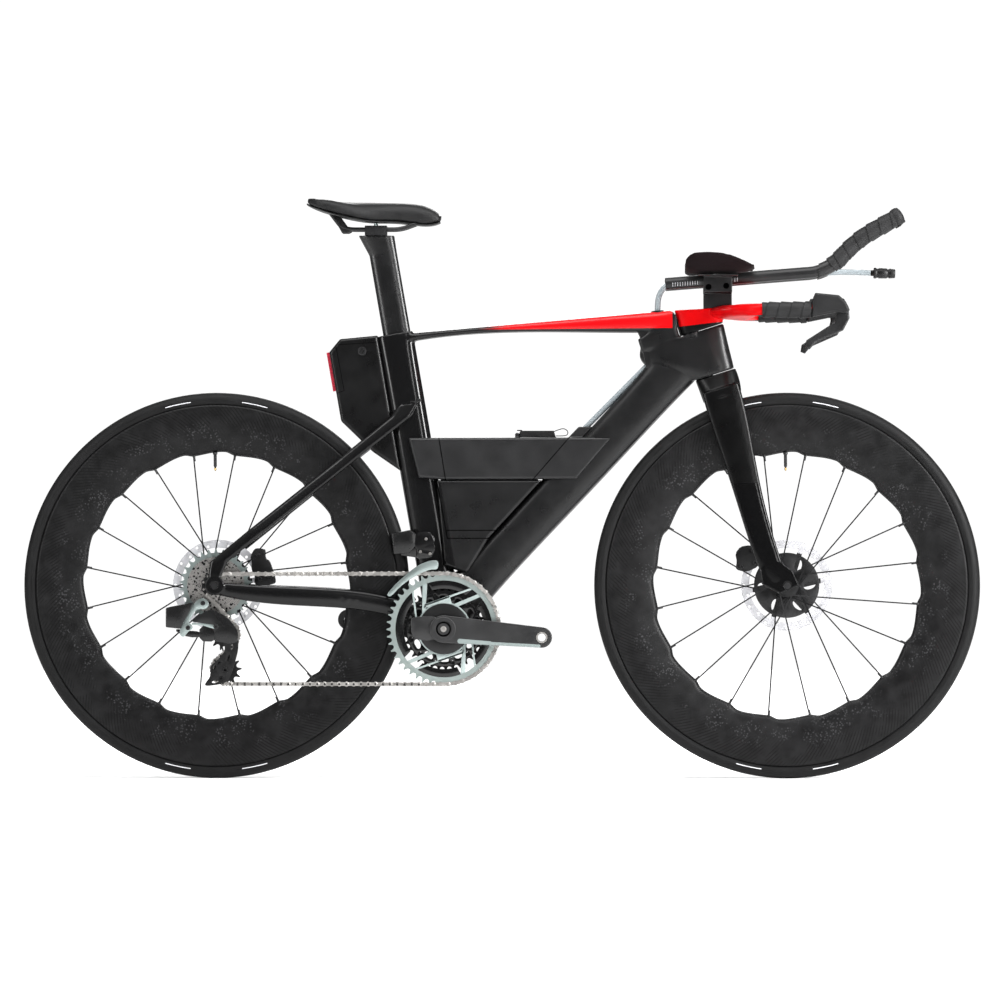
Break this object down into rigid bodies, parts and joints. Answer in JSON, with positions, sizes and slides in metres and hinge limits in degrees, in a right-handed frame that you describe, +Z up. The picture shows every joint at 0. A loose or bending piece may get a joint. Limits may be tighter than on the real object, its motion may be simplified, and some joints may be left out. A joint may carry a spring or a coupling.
{
  "type": "time trial bike",
  "caption": "Time trial bicycle with a deep aero frame, deep-section wheels, extension bars with arm rests, disc brakes, electronic shifting and a drinking hose.",
  "frame": {"origin": "on the ground, midway between the two axles, in the middle plane", "axes": "+X forward, +Y to the rider's left, +Z up"},
  "size_m": [1.681, 0.432, 1.0214],
  "materials": {
    "frame_satin": "satin painted carbon",
    "frame_gloss": "gloss black carbon",
    "bar_red": "gloss red paint",
    "rim_carbon": "bare carbon",
    "tyre_rubber": "smooth tread",
    "spoke_steel": "black bladed steel",
    "black_alloy": "black anodised",
    "rotor_steel": "ground steel",
    "cog_steel": "plated steel",
    "chain_silver": "polished",
    "ring_alloy": "satin anodised",
    "grip_tape": "soft matt",
    "pad_foam": "knit over foam",
    "saddle_cover": "matt synthetic leather",
    "pulley_plastic": "moulded",
    "hose_clear": "milky translucent",
    "light_red": "clear red lens"
  },
  "bodies": {
    "frame": {"head_tube": "frame_satin", "top_tube": "frame_satin", "down_tube": "frame_satin", "seat_tube": "frame_gloss", "chain_stays": "frame_gloss", "seat_stays": "frame_gloss", "frame_bearings": "cog_steel", "rear_axle": "black_alloy", "rear_tank": "frame_satin", "rear_light": "light_red", "storage_box": "frame_satin", "hydration_box": "frame_satin", "rear_brake_caliper": "black_alloy", "rear_derailleur_body": "frame_gloss", "derailleur_batteries": "frame_gloss", "front_derailleur_body": "frame_gloss", "chain": "chain_silver", "hydration_hose_lower": "hose_clear"},
    "steering": {"fork": "frame_gloss", "front_axle": "black_alloy", "front_brake_caliper": "black_alloy", "base_bar": "bar_red", "base_bar_tape": "grip_tape", "brake_hoods": "frame_gloss", "extension_bars": "black_alloy", "extension_tape": "grip_tape", "arm_rest_mount": "black_alloy", "arm_pads": "pad_foam", "hydration_hose_upper": "hose_clear", "bite_valve": "grip_tape"},
    "seatpost": {"seatpost": "frame_gloss", "saddle_pad": "saddle_cover", "saddle_shell": "frame_gloss", "saddle_rails": "black_alloy", "saddle_clamp": "black_alloy"},
    "front_wheel": {"front_rim": "rim_carbon", "front_tyre": "tyre_rubber", "front_spokes": "spoke_steel", "front_hub": "black_alloy", "front_rotor": "rotor_steel"},
    "rear_wheel": {"rear_rim": "rim_carbon", "rear_tyre": "tyre_rubber", "rear_spokes": "spoke_steel", "rear_hub": "black_alloy", "rear_rotor": "rotor_steel"},
    "crank": {"crank_arm_right": "black_alloy", "crank_arm_left": "black_alloy", "chainrings": "ring_alloy", "power_meter_spider": "black_alloy"},
    "cassette": {"cassette": "cog_steel", "freehub_body": "black_alloy"},
    "derailleur_cage": {"derailleur_cage": "cog_steel"},
    "guide_pulley": {"guide_pulley": "pulley_plastic"},
    "tension_pulley": {"tension_pulley": "pulley_plastic"},
    "front_derailleur_cage": {"front_derailleur_cage": "cog_steel"},
    "refill_lid": {"refill_lid": "pulley_plastic"},
    "brake_lever_left": {"brake_lever_left": "black_alloy"},
    "brake_lever_right": {"brake_lever_right": "black_alloy"},
    "shift_button_left": {"shift_button_left": "grip_tape"},
    "shift_button_right": {"shift_button_right": "grip_tape"}
  },
  "joints": [
    {"name": "steering_turn", "type": "hinge", "parent": "frame", "child": "steering", "pos_m": [0.47214, 0, 0.339], "axis": [-0.3007, 0, 0.9537], "range_deg": [-35, 35], "deforming": ["hydration_hose_upper"]},
    {"name": "front_wheel_spin", "type": "hinge", "parent": "steering", "child": "front_wheel", "pos_m": [0.5015, 0, 0.339], "axis": [0, 1, 0], "continuous": true},
    {"name": "rear_wheel_spin", "type": "hinge", "parent": "frame", "child": "rear_wheel", "pos_m": [-0.5015, 0, 0.339], "axis": [0, 1, 0], "continuous": true},
    {"name": "crank_spin", "type": "hinge", "parent": "frame", "child": "crank", "pos_m": [-0.1006, 0, 0.2634], "axis": [0, 1, 0], "continuous": true, "deforming": ["chain"]},
    {"name": "cassette_spin", "type": "hinge", "parent": "frame", "child": "cassette", "pos_m": [-0.5015, 0, 0.339], "axis": [0, 1, 0], "continuous": true},
    {"name": "cage_swing", "type": "hinge", "parent": "frame", "child": "derailleur_cage", "pos_m": [-0.487, 0, 0.257], "axis": [0, -1, 0], "range_deg": [0, 25], "stiffness_Nm_per_rad": 1, "springref_deg": -22.92},
    {"name": "guide_pulley_spin", "type": "hinge", "parent": "derailleur_cage", "child": "guide_pulley", "pos_m": [-0.484, 0, 0.2537], "axis": [0, 1, 0], "continuous": true},
    {"name": "tension_pulley_spin", "type": "hinge", "parent": "derailleur_cage", "child": "tension_pulley", "pos_m": [-0.48252, 0, 0.19172], "axis": [0, 1, 0], "continuous": true},
    {"name": "front_derailleur_trim", "type": "slide", "parent": "frame", "child": "front_derailleur_cage", "axis": [0, 1, 0], "range_m": [-0.001, 0.001]},
    {"name": "seatpost_height", "type": "slide", "parent": "frame", "child": "seatpost", "axis": [-0.1702, 0, 0.9854], "range_m": [-0.03, 0.03]},
    {"name": "refill_lid_open", "type": "hinge", "parent": "frame", "child": "refill_lid", "pos_m": [0.0274, 0, 0.6035], "axis": [0, -1, 0], "range_deg": [0, 105]},
    {"name": "brake_lever_left_pull", "type": "hinge", "parent": "steering", "child": "brake_lever_left", "pos_m": [0.59106, 0.2, 0.832], "axis": [0, 1, 0], "range_deg": [0, 20], "stiffness_Nm_per_rad": 1.5, "springref_deg": -5.73},
    {"name": "brake_lever_right_pull", "type": "hinge", "parent": "steering", "child": "brake_lever_right", "pos_m": [0.59106, -0.2, 0.832], "axis": [0, 1, 0], "range_deg": [0, 20], "stiffness_Nm_per_rad": 1.5, "springref_deg": -5.73},
    {"name": "shift_button_left_press", "type": "slide", "parent": "steering", "child": "shift_button_left", "axis": [-0.4895, 0, 0.872], "range_m": [0, 0.001], "stiffness_N_per_m": 1500, "springref_m": -0.0005},
    {"name": "shift_button_right_press", "type": "slide", "parent": "steering", "child": "shift_button_right", "axis": [-0.4895, 0, 0.872], "range_m": [0, 0.001], "stiffness_N_per_m": 1500, "springref_m": -0.0005}
  ],
  "couplings": [
    {"joint": "cassette_spin", "follows": "crank_spin", "ratio": 4.8},
    {"joint": "guide_pulley_spin", "follows": "crank_spin", "ratio": -4},
    {"joint": "tension_pulley_spin", "follows": "crank_spin", "ratio": 4}
  ]
}
